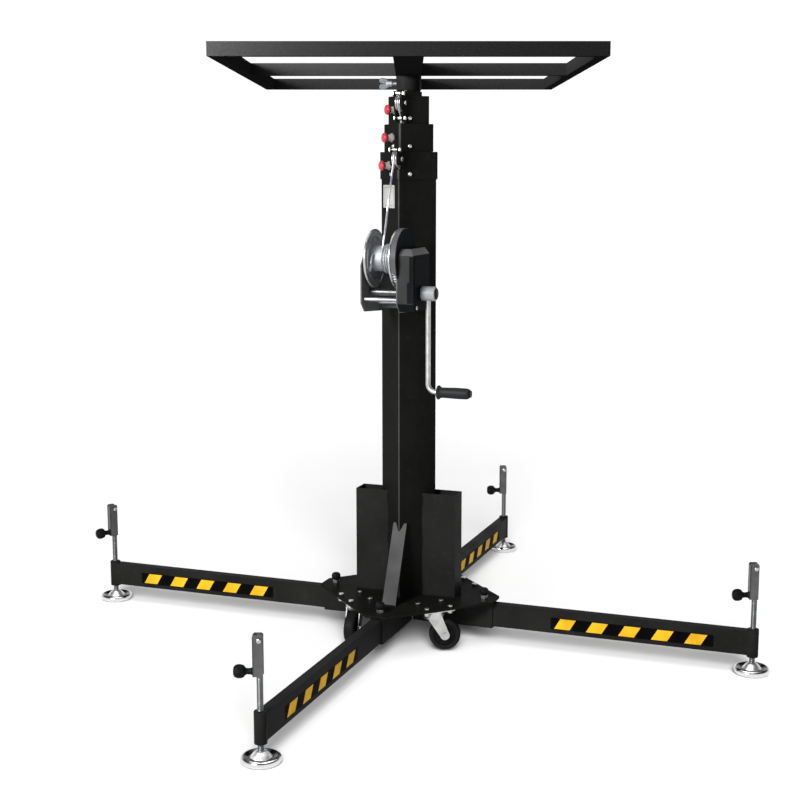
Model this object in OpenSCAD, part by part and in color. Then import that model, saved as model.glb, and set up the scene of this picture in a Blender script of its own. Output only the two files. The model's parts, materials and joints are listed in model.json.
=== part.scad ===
// Wind-up telescopic lifting tower: a four-section square mast on a four-leg base with castors,
// screw jacks, a hand winch with one reeved wire rope, lock plungers and a swivelling tray frame.
// Millimetres. Z is up, the floor is Z = 0 and the mast axis is X = Y = 0. The winch faces -Y.

/* [Mast] */
// Width across the flats of the outer mast tube
mast_w = 106; // [102:1:112]
// Wall of every mast tube
mast_wall = 3; // [2.6:0.1:3.4]
// Room between one mast tube and the next
mast_gap = 5; // [4.6:0.1:5.6]
// Width across the flats of the top tube
top_w = 52; // [50:0.5:56]
// Length of the outer mast tube
mast_len = 1135; // [1090:5:1250]
// Outer corner radius of the mast tubes
mast_corner = 5; // [4:0.5:6]
// Lift of each section over the one below
travel = 850; // [700:10:860]
// Height of each collar
collar_h = 67.5; // [64:0.5:74]
// Wall of each collar
collar_wall = 3.2; // [2.6:0.1:4]

/* [Base] */
// Height of the leg axes above the floor
leg_z = 78; // [76:1:84]
// Height of a leg tube
leg_h = 60; // [56:1:60]
// Thickness of a leg tube
leg_t = 25; // [22:0.5:25]
// Wall of a leg tube
leg_wall = 2.5; // [2:0.1:3]
// Distance from the mast axis to each jack spindle
foot_radius = 888; // [800:1:960]
// Half width of the base plate across its flats
plate_half = 190; // [184:1:196]
// Thickness of the base plate
plate_t = 6; // [5:0.5:8]
// Distance from the mast axis to each socket mouth
socket_out = 235; // [228:1:238]
// Length of leg held inside a socket
leg_hold = 150; // [130:1:170]
// Height of the leg storage pockets
pocket_h = 270; // [200:5:320]
// Diameter of a foot disc
foot_d = 90; // [80:1:110]
// Diameter of a jack spindle
spindle_d = 14; // [12:0.5:15]
// Direction of the jack cranks about their spindles
jack_turn = 200; // [0:5:355]

/* [Castors] */
// Distance of each castor from the two leg axes
castor_at = 107; // [104:1:112]
// Wheel diameter
wheel_d = 80; // [76:1:81]
// Wheel width
wheel_w = 28; // [24:0.5:30]
// Trail of the wheel behind the swivel
castor_trail = 28; // [24:1:30]

/* [Winch] */
// Distance of the drum axis in front of the mast axis
drum_out = 155; // [154:0.5:160]
// Height of the drum axis above the floor
drum_z = 996; // [940:1:1010]
// Radius of the drum flanges
flange_r = 71; // [69:0.5:72]
// Length of the winch crank between its two axes
crank_len = 240; // [180:5:250]
// Diameter of the wire rope
rope_d = 5; // [4:0.1:5]
// Radius of a mast sheave at the rope centre
sheave_r = 19; // [17:0.5:20]

/* [Tray] */
// Width of the tray frame
tray_w = 830; // [600:5:1000]
// Depth of the tray frame
tray_l = 1240; // [800:5:1400]
// Height of the tray bars
tray_h = 30; // [25:1:40]
// Width of the tray bars
tray_bar = 25; // [20:1:30]
// Direction of the tray about the mast
tray_turn = 20; // [0:5:355]

/* [Hidden] */
$fn = 48;
root2 = sqrt(2);
far = 400;

// clearances
run_fit = 0.05;
slide_fit = 0.4;
rest_gap = 0.5;

// base heights
socket_wall = 3.6;
socket_h = leg_h + 2 * (slide_fit + socket_wall);
socket_t = leg_t + 2 * (slide_fit + socket_wall);
plate_z = leg_z + socket_h / 2;
mast_z = plate_z + plate_t;
tongue_out = socket_out + 5;

// mast sections, counted 1 to 4 from the outside
step_w = 2 * (mast_wall + mast_gap);
width = [0, mast_w, mast_w - step_w, mast_w - 2 * step_w, top_w];
mast_top = mast_z + mast_len;
stack = collar_h + rest_gap;
head_h = 14;
top_z = [0, mast_top, mast_top + stack, mast_top + 2 * stack, mast_top + 2 * stack + head_h];
foot_step = 48;
foot_z = [0, mast_z, mast_z + 34, mast_z + 34 + foot_step, mast_z + 34 + 2 * foot_step];
inner_corner = mast_corner - mast_wall;

// wire rope runs, as distances from the mast axis along its front and back corners
function corner_out(k) = (width[k] / 2 - mast_corner) * root2 + mast_corner;
function corner_in(k) = (width[k] / 2 - mast_wall - inner_corner) * root2 + inner_corner;
function rope_in(k) = (corner_in(k) + corner_out(k + 1)) / 2;
function rope_out(k) = rope_in(k - 1);
rope_r = rope_d / 2;
rope_room = 0.3;
// bends stand a hair proud of the straight runs they join
bend_over = 0.03;

// sheaves at the collars
sheave_w = 12;
sheave_rim = sheave_r + 3.5;
axle_r = 4;
slot_w = sheave_w + 2;
cheek_t = 4;
sheave_drop = 18;
// the bolt that keeps the rope in the sheave's groove
keeper_r = 3;
keeper_up = 22.5;
keeper_out = sqrt((sheave_rim + keeper_r + rest_gap)^2 - keeper_up^2);
guide_r = 5;
guide_wrap = guide_r + rope_r + rope_room;
guide_up = 13;
function sheave_y(k) = rope_in(k) + sheave_r;
function sheave_z(k) = top_z[k] - sheave_drop;
function guide_y(k) = rope_out(k) + guide_wrap;
function guide_z(k) = top_z[k] - collar_h + guide_up;
function cheek_y(k) = width[k] / root2 - 9;
function lean(k) =
    let (dy = sheave_y(k) - guide_y(k), dz = sheave_z(k) - guide_z(k))
    atan2(dy, dz) + asin((sheave_r + guide_wrap) / norm([dy, dz]));

// rollers at the foot of sections 2 and 3
roller_r = 10;
roller_w = 8;
roller_wrap = roller_r + rope_r + rope_room;
roller_up = 16;
function roller_y(k) = rope_out(k) - roller_wrap;
function roller_z(k) = foot_z[k] + roller_up;

// lock plungers
pin_r = 5;
barrel_r = 8;
barrel_out = 15;
lock_side = 10;
lock_face = 225;
knob_r = 12.4;
function lock_z(k) = top_z[k] - collar_h / 2;
function lock_x(k) = width[k] / 2 + collar_wall + barrel_out;

// collar bolts and guide pads
bolt_r = 3;
bolt_up = 13;
pad_w = 36;
pad_h = 60;
pad_drop = 150;

// winch
drum_y = -drum_out;
hub_r = 31.3;
wrap_r = 34;
drum_half = 30;
flange_t = 3;
gear_m = 2.75;
gear_n = 48;
pinion_n = 12;
gear_w = 10;
shaft_r = 8;
crank_y = drum_y;
crank_z = drum_z - gear_m * (gear_n + pinion_n) / 2;
side_in = 44;
side_t = 4;
side_out = side_in + side_t;
winch_low = drum_z - 128;
winch_back = -77;
back_t = 5;
back_h = 150;
// the two ribs that carry the winch's back plate on the mast
rib_x = 28;
rib_t = 5;
rib_up = 12;
rib_h = 130;
rib_d = 60;
// the gear cover, measured from the drum axis
cover_front = 36;
cover_top = 26;
cover_out = 88;
cover_wall = 3;
hub_x0 = 90;
hub_x1 = 124;
rod_r = 6;
rod_x = 107;
rod_bend = 20;
grip_z = crank_z - crank_len;
grip_x0 = 132;
grip_x1 = 214;
tie_rods = [[drum_y - 35, drum_z - 97], [drum_y + 60, drum_z - 111]];
pawl_at = [crank_y + 33, crank_z + 31.5];
ratchet_r = 26;
ratchet_x0 = side_out + 5;
ratchet_x1 = ratchet_x0 + 6;

// legs and jacks
leg_in = socket_out - leg_hold;
nut_r = 14;
nut_low = 42;
lock_at = socket_out - 28;
clamp_r = 5;
spindle_r = spindle_d / 2;
spindle_low = 10.3;
pivot_z = 264;
pivot_r = 3;
arm_top = 274;
arm_low = 187;
arm_web = 11.5;
arm_sheet = 2.5;
arm_inner = 8.5;
jack_knob_z = 197;
// the left jack is turned a little further, which keeps its knob over its foot disc
jack_turns = [jack_turn, jack_turn, jack_turn + 35, jack_turn];

// castors
castor_plate_t = 3;
castor_z = plate_z - castor_plate_t;
wheel_z = plate_z - 67;
crown_z = wheel_z + 43;
kingpin_r = 6;
axle_bolt_r = 5;
fork_in = wheel_w / 2 + 2;
fork_t = 3;
castor_turns = [200, 250, 275, 20];

// storage pockets
pocket_wall = 2.5;
pocket_room = 2 * leg_t + 1;
pocket_half = pocket_room / 2 + pocket_wall;
pocket_out = corner_out(1) + leg_h + 0.6 + pocket_wall;

// brace in front of the mast foot
brace_w = 37;
brace_t = 6;
brace_foot = 146;
brace_head = mast_w / root2 - 13.7;
brace_h = 196;

// tray
tray_wall = 2;
spine_w = 64;
head_z = top_z[4];
cap_t = 3;
sleeve_z = head_z + rest_gap;
sleeve_h = 36;
sleeve_r = 31;
spigot_r = 24;
tray_z = sleeve_z + sleeve_h;
wing_z = sleeve_z + 17;
wing_r = 4;
wing_t = 4;

// Helpers

// local x becomes Y, local y becomes Z, local z becomes X
module yz() {
    rotate([90, 0, 90]) children();
}

// a rod or bore along X
module along_x(x0, x1, y, z, r, sides = $fn) {
    translate([x0, y, z]) rotate([0, 90, 0]) cylinder(r = r, h = x1 - x0, $fn = sides);
}

// a square with rounded corners
module rounded_square(w, r) {
    square([w - 2 * r, w], center = true);
    square([w, w - 2 * r], center = true);
    for (a = [0:90:270])
        rotate(a) translate([w / 2 - r, w / 2 - r]) circle(r);
}

// the solid outline of mast section k
module mast_outline(k, z0, z1) {
    translate([0, 0, z0]) rotate(45) linear_extrude(z1 - z0) rounded_square(width[k], mast_corner);
}

// sections 1 and 3 carry their sheave at the front corner, section 2 at the back; +Y is outward here
module at_corner(k) {
    rotate(k == 2 ? 0 : 180) children();
}

// a bar from [y, z] p to q
module rope_line(p, q) {
    d = q - p;
    translate([0, p[0], p[1]]) rotate([atan2(-d[0], d[1]), 0, 0]) cylinder(r = rope_r, h = norm(d));
}

// a bend about [y, z] c, from angle a0 to a1
module rope_bend(c, r, a0, a1) {
    translate([0, c[0], c[1]]) yz() rotate(a0) rotate_extrude(angle = a1 - a0)
        translate([r, 0]) circle(rope_r + bend_over);
}

// a hollow box bar, centred on X and Y, with its hollow along Y
module bar_y(w, l, h, wall) {
    difference() {
        translate([-w / 2, -l / 2, 0]) cube([w, l, h]);
        translate([wall - w / 2, -l / 2 - 1, wall]) cube([w - 2 * wall, l + 2, h - 2 * wall]);
    }
}

// the four collar bolts of section k, on the faces beside the front and back corners
module at_collar_bolts(k) {
    z = top_z[k] - collar_h + bolt_up;
    side = 0.23 * width[k];
    for (f = [[45, 1], [135, -1], [225, 1], [315, -1]])
        rotate(f[0]) translate([width[k] / 2, f[1] * side, z]) rotate([0, 90, 0]) children();
}

// four castor mountings, with local x along the plate edge's normal
module at_castors() {
    for (a = [45:90:315])
        rotate(a) translate([castor_at * root2, 0, 0]) children();
}

module at_castor_bolts() {
    at_castors()
        for (x = [-26.5, 26.5], y = [-33, 33])
            translate([x, y, 0]) children();
}

// Base

module base_plate_outline() {
    intersection() {
        rotate(45) square(2 * plate_half, center = true);
        square(2 * tongue_out, center = true);
    }
}

module base_plate() {
    color("#222220") difference() {
        translate([0, 0, plate_z]) linear_extrude(plate_t) base_plate_outline();
        at_castor_bolts() translate([0, 0, plate_z - 1]) cylinder(r = 4, h = plate_t + 2);
        for (a = [0:90:270])
            rotate(a) translate([lock_at, 0, plate_z - 1]) cylinder(r = clamp_r + run_fit, h = plate_t + 2);
    }
}

module leg_sockets() {
    color("#222220") for (a = [0:90:270]) rotate(a) leg_socket();
}

module leg_socket() {
    start = socket_t / 2 + 1;
    low = leg_z - socket_h / 2;
    difference() {
        translate([start, -socket_t / 2, low]) cube([socket_out - start, socket_t, socket_h]);
        translate([start - 1, socket_wall - socket_t / 2, low + socket_wall])
            cube([socket_out, socket_t - 2 * socket_wall, socket_h - 2 * socket_wall]);
        translate([lock_at, 0, leg_z]) cylinder(r = clamp_r + run_fit, h = socket_h);
    }
}

// two channels that hold the legs for transport, and the brace in front
module mast_gussets() {
    color("#1e1e1c") {
        for (a = [0, 180]) rotate(a) leg_pocket();
        mast_brace();
    }
}

module leg_pocket() {
    difference() {
        translate([20, -pocket_half, mast_z]) cube([pocket_out - 20, 2 * pocket_half, pocket_h]);
        translate([0, -pocket_room / 2, mast_z - 1])
            cube([pocket_out - pocket_wall, pocket_room, pocket_h + 2]);
        mast_outline(1, mast_z - 1, mast_z + pocket_h + 1);
    }
}

module mast_brace() {
    difference() {
        translate([-brace_w / 2, 0, 0]) yz() linear_extrude(brace_w) polygon([
            [-brace_foot - brace_t / 2, mast_z],
            [-brace_foot + brace_t / 2, mast_z],
            [-brace_head + brace_t / 2, mast_z + brace_h],
            [-brace_head - brace_t / 2, mast_z + brace_h]
        ]);
        mast_outline(1, mast_z - 1, mast_z + brace_h + 1);
    }
}

module base_fasteners() {
    color("#c9c9c6") {
        at_castors() difference() {
            union() {
                translate([-35, -42.5, castor_z]) cube([70, 85, castor_plate_t]);
                translate([0, 0, crown_z + 3]) cylinder(r = kingpin_r, h = castor_z - crown_z - 2);
            }
            for (x = [-26.5, 26.5], y = [-33, 33])
                translate([x, y, castor_z - 1]) cylinder(r = 4, h = castor_plate_t + 2);
        }
        at_castor_bolts() {
            translate([0, 0, castor_z - 6]) cylinder(r = 4, h = plate_t + castor_plate_t + 6);
            translate([0, 0, mast_z]) cylinder(r = 6.5, h = 4.5);
            translate([0, 0, castor_z - 6]) difference() {
                cylinder(r = 7.5, h = 6, $fn = 6);
                translate([0, 0, -1]) cylinder(r = 4, h = 8);
            }
        }
        for (a = [0:90:270]) rotate(a) translate([lock_at, 0, mast_z]) difference() {
            cylinder(r = 10, h = 8, $fn = 6);
            translate([0, 0, -1]) cylinder(r = clamp_r + run_fit, h = 10);
        }
    }
}

// Mast

module mast_tube(k) {
    low = foot_z[k];
    high = k == 4 ? head_z - cap_t : top_z[k];
    translate([0, 0, low]) rotate(45) linear_extrude(high - low) difference() {
        rounded_square(width[k], mast_corner);
        rounded_square(width[k] - 2 * mast_wall, inner_corner);
    }
}

module collar(k) {
    w = width[k] + 2 * collar_wall;
    translate([0, 0, top_z[k] - collar_h]) rotate(45) linear_extrude(collar_h) difference() {
        rounded_square(w, mast_corner + collar_wall);
        rounded_square(width[k] - 2 * mast_wall, inner_corner);
    }
}

// two plates that carry the sheave, and the guide roller of sections 2 and 3
module cheeks(k) {
    out = sheave_y(k) + keeper_out + 6;
    low = k == 1 ? sheave_z(k) - 15 : guide_z(k) - 8;
    near = k == 1 ? out : guide_y(k) + 8;
    at_corner(k) difference() {
        for (x = [-slot_w / 2 - cheek_t, slot_w / 2])
            translate([x, 0, 0]) yz() linear_extrude(cheek_t) polygon([
                [cheek_y(k), low],
                [near, low],
                if (k > 1) [near, low + 16],
                if (k > 1) [out, sheave_z(k) - 10],
                [out, sheave_z(k) + keeper_up + 5],
                [sheave_y(k) + 2, sheave_z(k) + keeper_up + 5],
                [cheek_y(k), sheave_z(k) + 17]
            ]);
        along_x(-far, far, sheave_y(k), sheave_z(k), axle_r);
        along_x(-far, far, sheave_y(k) + keeper_out, sheave_z(k) + keeper_up, keeper_r);
        if (k > 1) along_x(-far, far, guide_y(k), guide_z(k), 3);
    }
}

// openings for the sheave, and for the rope that climbs past the collar
module rope_slots(k) {
    at_corner(k) {
        translate([-slot_w / 2, corner_out(k + 1) + 0.3, sheave_z(k) - sheave_rim - 1.5])
            cube([slot_w, far, far]);
        if (k > 1)
            translate([-slot_w / 2, corner_out(k) + 0.3, top_z[k] - collar_h - 1])
                cube([slot_w, far, collar_h]);
    }
}

// openings and pin holes for the foot rollers
module roller_slots(k) {
    for (s = [-1, 1]) {
        translate([-roller_w / 2 - 1, s > 0 ? 20 : -far - 20, foot_z[k] - 1])
            cube([roller_w + 2, far, roller_up + roller_r + 3]);
        along_x(-far, far, s * roller_y(k), roller_z(k), axle_r);
    }
}

module lock_bore(k) {
    rotate(lock_face) translate([width[k] / 2 - 2 * mast_wall, lock_side, lock_z(k)])
        rotate([0, 90, 0]) cylinder(r = barrel_r, h = far);
}

module lock_hole(k) {
    rotate(lock_face) translate([0, lock_side, lock_z(k - 1) - travel])
        rotate([0, 90, 0]) cylinder(r = pin_r + 0.5, h = far);
}

module mast_section(k) {
    color("#1e1e1c") difference() {
        union() {
            mast_tube(k);
            collar(k);
            cheeks(k);
        }
        rope_slots(k);
        lock_bore(k);
        at_collar_bolts(k) translate([0, 0, -2 * mast_wall]) cylinder(r = bolt_r, h = far);
        if (k > 1) {
            roller_slots(k);
            lock_hole(k);
        }
    }
}

module mast_head() {
    eye_z = foot_z[4] + 4;
    color("#1e1e1c") {
        difference() {
            mast_tube(4);
            lock_hole(4);
        }
        translate([0, 0, head_z - cap_t]) cylinder(r = sleeve_r - 2, h = cap_t);
        translate([0, 0, head_z]) cylinder(r = spigot_r, h = sleeve_h - 2);
        at_corner(3) difference() {
            union() {
                translate([0, rope_in(3), eye_z]) cylinder(r = rope_r + rope_room + 1.5, h = 14);
                translate([-1.5, corner_out(4) - 1, eye_z]) cube([3, rope_in(3) - corner_out(4) - 1, 14]);
            }
            translate([0, rope_in(3), eye_z - 1]) cylinder(r = rope_r + rope_room, h = 16);
        }
    }
}

// slide pads: inside the top of section k, and outside its foot
module guide_pads(k) {
    color("#e4e2da") {
        if (k < 4)
            for (a = [45:90:315]) rotate(a) {
                room = (width[k] - width[k + 1]) / 2 - mast_wall - slide_fit;
                translate([width[k] / 2 - mast_wall - room, -pad_w / 2, top_z[k] - pad_drop])
                    cube([room, pad_w, pad_h]);
            }
        if (k > 1)
            for (a = [45:90:315]) rotate(a) {
                room = (width[k - 1] - width[k]) / 2 - mast_wall - slide_fit;
                translate([width[k] / 2, -pad_w / 2 + 4, foot_z[k]]) cube([room, pad_w - 8, pad_h]);
            }
    }
}

// a bolt across the corner, with a head at each end
module cross_bolt(y, z, half, r) {
    along_x(-half, half, y, z, r);
    for (s = [-1, 1])
        along_x(s > 0 ? half : -half - 4, s > 0 ? half + 4 : -half, y, z, r + 3, 6);
}

module collar_hardware(k) {
    cheek_half = slot_w / 2 + cheek_t;
    color("#d2d2ce") {
        at_collar_bolts(k) {
            translate([0, 0, -mast_wall]) cylinder(r = bolt_r, h = mast_wall + collar_wall);
            translate([0, 0, collar_wall]) cylinder(r = 5.5, h = 3.5);
        }
        at_corner(k) {
            cross_bolt(sheave_y(k), sheave_z(k), cheek_half, axle_r);
            cross_bolt(sheave_y(k) + keeper_out, sheave_z(k) + keeper_up, cheek_half, keeper_r);
            if (k > 1) {
                cross_bolt(guide_y(k), guide_z(k), cheek_half, 3);
                difference() {
                    along_x(-slot_w / 2 + 0.3, slot_w / 2 - 0.3, guide_y(k), guide_z(k), guide_r);
                    along_x(-far, far, guide_y(k), guide_z(k), 3);
                }
                rope_run(k);
            }
        }
        rotate(lock_face) translate([0, lock_side, lock_z(k)]) rotate([0, 90, 0]) difference() {
            union() {
                translate([0, 0, width[k] / 2 - mast_wall])
                    cylinder(r = barrel_r, h = lock_x(k) - width[k] / 2 + mast_wall);
                translate([0, 0, width[k] / 2 + collar_wall]) cylinder(r = 11, h = 5, $fn = 6);
            }
            cylinder(r = pin_r + run_fit, h = far);
        }
        if (k > 1)
            for (s = [-1, 1]) {
                along_x(-10, 10, s * roller_y(k), roller_z(k), axle_r);
                difference() {
                    along_x(-roller_w / 2, roller_w / 2, s * roller_y(k), roller_z(k), roller_r);
                    along_x(-far, far, s * roller_y(k), roller_z(k), axle_r);
                }
            }
    }
}

// the rope from under the foot of section k, up its outside, over its sheave and down its inside
module rope_run(k) {
    b = lean(k);
    ry = roller_y(k);
    rz = roller_z(k);
    guide = [guide_y(k), guide_z(k)];
    wheel = [sheave_y(k), sheave_z(k)];
    low = k == 3 ? foot_z[4] + 2 : roller_z(k + 1) + roller_wrap;
    rope_bend([-ry, rz], roller_wrap, 245, 270);
    rope_line([-ry, rz - roller_wrap], [ry, rz - roller_wrap]);
    rope_bend([ry, rz], roller_wrap, 270, 360);
    rope_line([rope_out(k), rz], [rope_out(k), guide[1]]);
    rope_bend(guide, guide_wrap, 180 - b, 180);
    rope_line(guide + guide_wrap * [-cos(b), sin(b)], wheel + sheave_r * [cos(b), -sin(b)]);
    rope_bend(wheel, sheave_r, -b, 180);
    rope_line([rope_in(k), low], [rope_in(k), wheel[1]]);
}

module lock_plunger(k) {
    tip = width[k + 1] / 2 + slide_fit;
    rotate(lock_face) translate([0, lock_side, lock_z(k)]) rotate([0, 90, 0]) {
        color("#b9b9b5") translate([0, 0, tip]) cylinder(r = pin_r, h = lock_x(k) - tip + 1.5);
        color("#b3161b") translate([0, 0, lock_x(k) + 1.5]) rotate_extrude() polygon([
            [0, 0], [8, 0], [knob_r - 1.5, 2.5], [knob_r, 4.5], [knob_r, 7],
            [knob_r - 2.5, 10], [knob_r - 6, 11.3], [0, 11.8]
        ]);
    }
}

module sheave(k) {
    groove = sheave_r - rope_r - 0.2;
    side = rope_r + 0.4;
    color("#d8d8d4") at_corner(k) translate([0, sheave_y(k), sheave_z(k)]) rotate([0, 90, 0])
        rotate_extrude() polygon([
            [axle_r + run_fit, -sheave_w / 2], [sheave_rim, -sheave_w / 2],
            [sheave_rim, -side - 1.6], [sheave_r + 0.5, -side], [groove, -side],
            [groove, side], [sheave_r + 0.5, side], [sheave_rim, side + 1.6],
            [sheave_rim, sheave_w / 2], [axle_r + run_fit, sheave_w / 2]
        ]);
}

// the rope from the drum over the first sheave and down inside the outer tube
module wire_rope() {
    drum = [drum_y, drum_z];
    wheel = [-sheave_y(1), sheave_z(1)];
    d = wheel - drum;
    u = d / norm(d);
    tilt = (wrap_r - sheave_r) / norm(d);
    n = tilt * u + sqrt(1 - tilt * tilt) * [-u[1], u[0]];
    color("#9d9d99") {
        rope_line(drum + wrap_r * n, wheel + sheave_r * n);
        rope_bend(wheel, sheave_r, 0, atan2(n[1], n[0]));
        rope_line([-rope_in(1), roller_z(2) + roller_wrap], [-rope_in(1), wheel[1]]);
    }
}

// Winch

function involute(r, base) = r <= base ? 0 : let (a = acos(base / r)) tan(a) * 180 / PI - a;

// one gear outline, with a tooth centred on angle 0
function gear_outline(n) =
    let (
        pitch = gear_m * n / 2,
        base = pitch * cos(20),
        half = 90 / n - 0.16 * 180 / PI / pitch + involute(pitch, base),
        radii = [pitch - 1.1 * gear_m, max(base, pitch - 0.9 * gear_m), pitch - 0.2 * gear_m,
            pitch + 0.3 * gear_m, pitch + 0.75 * gear_m]
    )
    [for (t = [0:n - 1]) each [
        for (r = radii) let (a = t * 360 / n - half + involute(r, base)) r * [cos(a), sin(a)],
        for (i = [4:-1:0])
            let (r = radii[i], a = t * 360 / n + half - involute(r, base)) r * [cos(a), sin(a)]
    ]];

module side_plate(x) {
    translate([x, 0, 0]) yz() linear_extrude(side_t) difference() {
        polygon([
            [winch_back - back_t, winch_low], [drum_y - 33, winch_low], [drum_y - 55, winch_low + 22],
            [drum_y - 55, drum_z - 10], [drum_y - 30, drum_z + 44], [drum_y + 30, drum_z + 44],
            [winch_back - back_t, drum_z + 10]
        ]);
        translate([drum_y, drum_z]) circle(shaft_r);
        translate([crank_y, crank_z]) circle(shaft_r + run_fit);
        for (p = tie_rods) translate(p) circle(5);
    }
}

module winch_frame() {
    color("#2c2c2a") {
        side_plate(-side_out);
        side_plate(side_in);
        difference() {
            union() {
                translate([-side_out, winch_back - back_t, winch_low]) cube([2 * side_out, back_t, back_h]);
                for (s = [-1, 1])
                    translate([s * rib_x - rib_t / 2, winch_back, winch_low + rib_up])
                        cube([rib_t, rib_d, rib_h]);
            }
            mast_outline(1, winch_low - 1, drum_z + 60);
        }
    }
}

module winch_gear_cover() {
    y0 = drum_y - cover_front;
    y1 = winch_back - back_t - 10;
    z0 = winch_low + 3;
    z1 = drum_z + cover_top;
    color("#161616") difference() {
        union() {
            translate([side_out, 0, 0]) yz() linear_extrude(cover_out - side_out) polygon([
                [y0 + 8, z0], [y1, z0], [y1, z1], [y0 + 22, z1], [y0, z1 - 30], [y0, z0 + 8]
            ]);
            along_x(side_out, side_out + cover_wall, drum_y, drum_z, flange_r + 2);
            translate([side_out - 12, drum_y, drum_z]) yz() rotate(40) rotate_extrude(angle = 165)
                translate([flange_r + 0.8, 0]) square([2.2, 13]);
        }
        translate([side_out - 1, 0, 0]) yz() linear_extrude(cover_out - side_out + 1 - cover_wall) polygon([
            [y0 + 11, z0 + cover_wall], [y1 - cover_wall, z0 + cover_wall],
            [y1 - cover_wall, z1 - cover_wall],
            [y0 + 25, z1 - cover_wall], [y0 + cover_wall, z1 - 31], [y0 + cover_wall, z0 + 10]
        ]);
        along_x(side_out, side_out + 20, drum_y, drum_z, 14);
        along_x(side_out, cover_out + 1, crank_y, crank_z, 16);
    }
}

module winch_hardware() {
    color("#c4c4c0") {
        along_x(-side_out - 3, side_out + 3, drum_y, drum_z, shaft_r);
        along_x(-side_out - 10, -side_out - 3, drum_y, drum_z, 13, 6);
        along_x(side_out + 3, side_out + 10, drum_y, drum_z, 13, 6);
        for (p = tie_rods) {
            along_x(-side_out, side_out, p[0], p[1], 5);
            along_x(-side_out - 5, -side_out, p[0], p[1], 9, 6);
        }
        along_x(side_out, ratchet_x1, pawl_at[0], pawl_at[1], 4);
    }
}

module drum_flange(x) {
    along_x(x, x + flange_t, drum_y, drum_z, flange_r);
}

module rope_drum() {
    turns_x = rope_r + 0.3;
    color("#b4b4b0") {
        difference() {
            union() {
                along_x(-drum_half, drum_half, drum_y, drum_z, hub_r);
                drum_flange(-drum_half - flange_t);
                drum_flange(drum_half);
                translate([drum_half + flange_t, drum_y, drum_z]) yz() linear_extrude(gear_w)
                    polygon(gear_outline(gear_n));
            }
            along_x(-far, far, drum_y, drum_z, shaft_r + run_fit);
        }
        difference() {
            union() {
                along_x(turns_x, drum_half, drum_y, drum_z, wrap_r);
                for (x = [turns_x + rope_r:rope_d + 0.3:drum_half - rope_r])
                    translate([x, drum_y, drum_z]) yz()
                        rotate_extrude() translate([wrap_r, 0]) circle(rope_r);
            }
            along_x(-far, far, drum_y, drum_z, hub_r);
        }
    }
}

// the pinion shaft, with the brake's ratchet wheel and its two friction discs
module crank_shaft() {
    color("#8f8f8b") {
        along_x(-side_out - 4, hub_x1, crank_y, crank_z, shaft_r);
        translate([drum_half + flange_t, crank_y, crank_z]) yz()
            linear_extrude(gear_w) rotate(180 / pinion_n)
            polygon(gear_outline(pinion_n));
        translate([ratchet_x0, crank_y, crank_z]) yz() linear_extrude(ratchet_x1 - ratchet_x0) polygon([
            for (i = [0:15]) each [
                ratchet_r * [cos(i * 22.5), sin(i * 22.5)],
                (ratchet_r - 5) * [cos(i * 22.5 + 3), sin(i * 22.5 + 3)]
            ]
        ]);
        along_x(ratchet_x0 - 3, ratchet_x0, crank_y, crank_z, ratchet_r - 6);
        along_x(ratchet_x1, ratchet_x1 + 8, crank_y, crank_z, ratchet_r - 6);
    }
}

module winch_pawl() {
    reach = norm([pawl_at[0] - crank_y, pawl_at[1] - crank_z]) - ratchet_r - 0.6;
    aim = atan2(crank_z - pawl_at[1], crank_y - pawl_at[0]);
    color("#a8a8a4") translate([ratchet_x0 + 0.5, pawl_at[0], pawl_at[1]]) yz()
        linear_extrude(ratchet_x1 - ratchet_x0 - 1) rotate(aim) difference() {
            union() {
                circle(8);
                polygon([[0, -7], [reach, -2], [reach, 2], [0, 7]]);
            }
            circle(4 + run_fit);
        }
}

module winch_crank() {
    color("#c6c6c2") {
        difference() {
            union() {
                along_x(hub_x0, hub_x1, crank_y, crank_z, 14.5);
                translate([rod_x, crank_y, grip_z + rod_bend])
                    cylinder(r = rod_r, h = crank_len - rod_bend);
                translate([rod_x + rod_bend, crank_y, grip_z + rod_bend]) rotate([90, 0, 0]) rotate(180)
                    rotate_extrude(angle = 90) translate([rod_bend, 0]) circle(rod_r);
                along_x(rod_x + rod_bend, grip_x1 + 2, crank_y, grip_z, rod_r);
            }
            along_x(-far, far, crank_y, crank_z, shaft_r);
        }
        along_x(hub_x1, hub_x1 + 4, crank_y, crank_z, 11);
        along_x(grip_x1 + 0.5, grip_x1 + 3, crank_y, grip_z, 9);
    }
}

module crank_grip() {
    length = grip_x1 - grip_x0;
    color("#141414") translate([grip_x0, crank_y, grip_z]) rotate([0, 90, 0]) rotate_extrude() polygon([
        [rod_r + run_fit, 0], [16, 0], [17.5, 1.5], [17.5, 4], [14, 7], [12.5, 14], [13.5, length / 2],
        [13.5, length - 12], [12, length - 3], [10, length], [rod_r + run_fit, length]
    ]);
}

// Tray

module tray_frame() {
    rail_x = (tray_w - tray_bar) / 2;
    cross_y = (tray_l - tray_bar) / 2;
    half_l = (tray_w - 2 * tray_bar - spine_w) / 2;
    color("#1e1e1c") rotate(tray_turn) {
        translate([0, 0, tray_z]) {
            for (s = [-1, 1]) {
                translate([0, s * cross_y, 0]) rotate(90) bar_y(tray_bar, tray_w, tray_h, tray_wall);
                translate([s * rail_x, 0, 0]) bar_y(tray_bar, tray_l - 2 * tray_bar, tray_h, tray_wall);
                translate([s * (spine_w + half_l) / 2, 0, 0]) rotate(90)
                    bar_y(tray_bar, half_l, tray_h, tray_wall);
            }
            bar_y(spine_w, tray_l - 2 * tray_bar, tray_h, tray_wall);
        }
        difference() {
            translate([0, 0, sleeve_z]) cylinder(r = sleeve_r, h = sleeve_h);
            translate([0, 0, sleeve_z - 1]) cylinder(r = spigot_r + run_fit, h = sleeve_h + 2);
            along_x(-sleeve_r - 1, 0, 0, wing_z, wing_r + run_fit);
        }
    }
}

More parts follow.
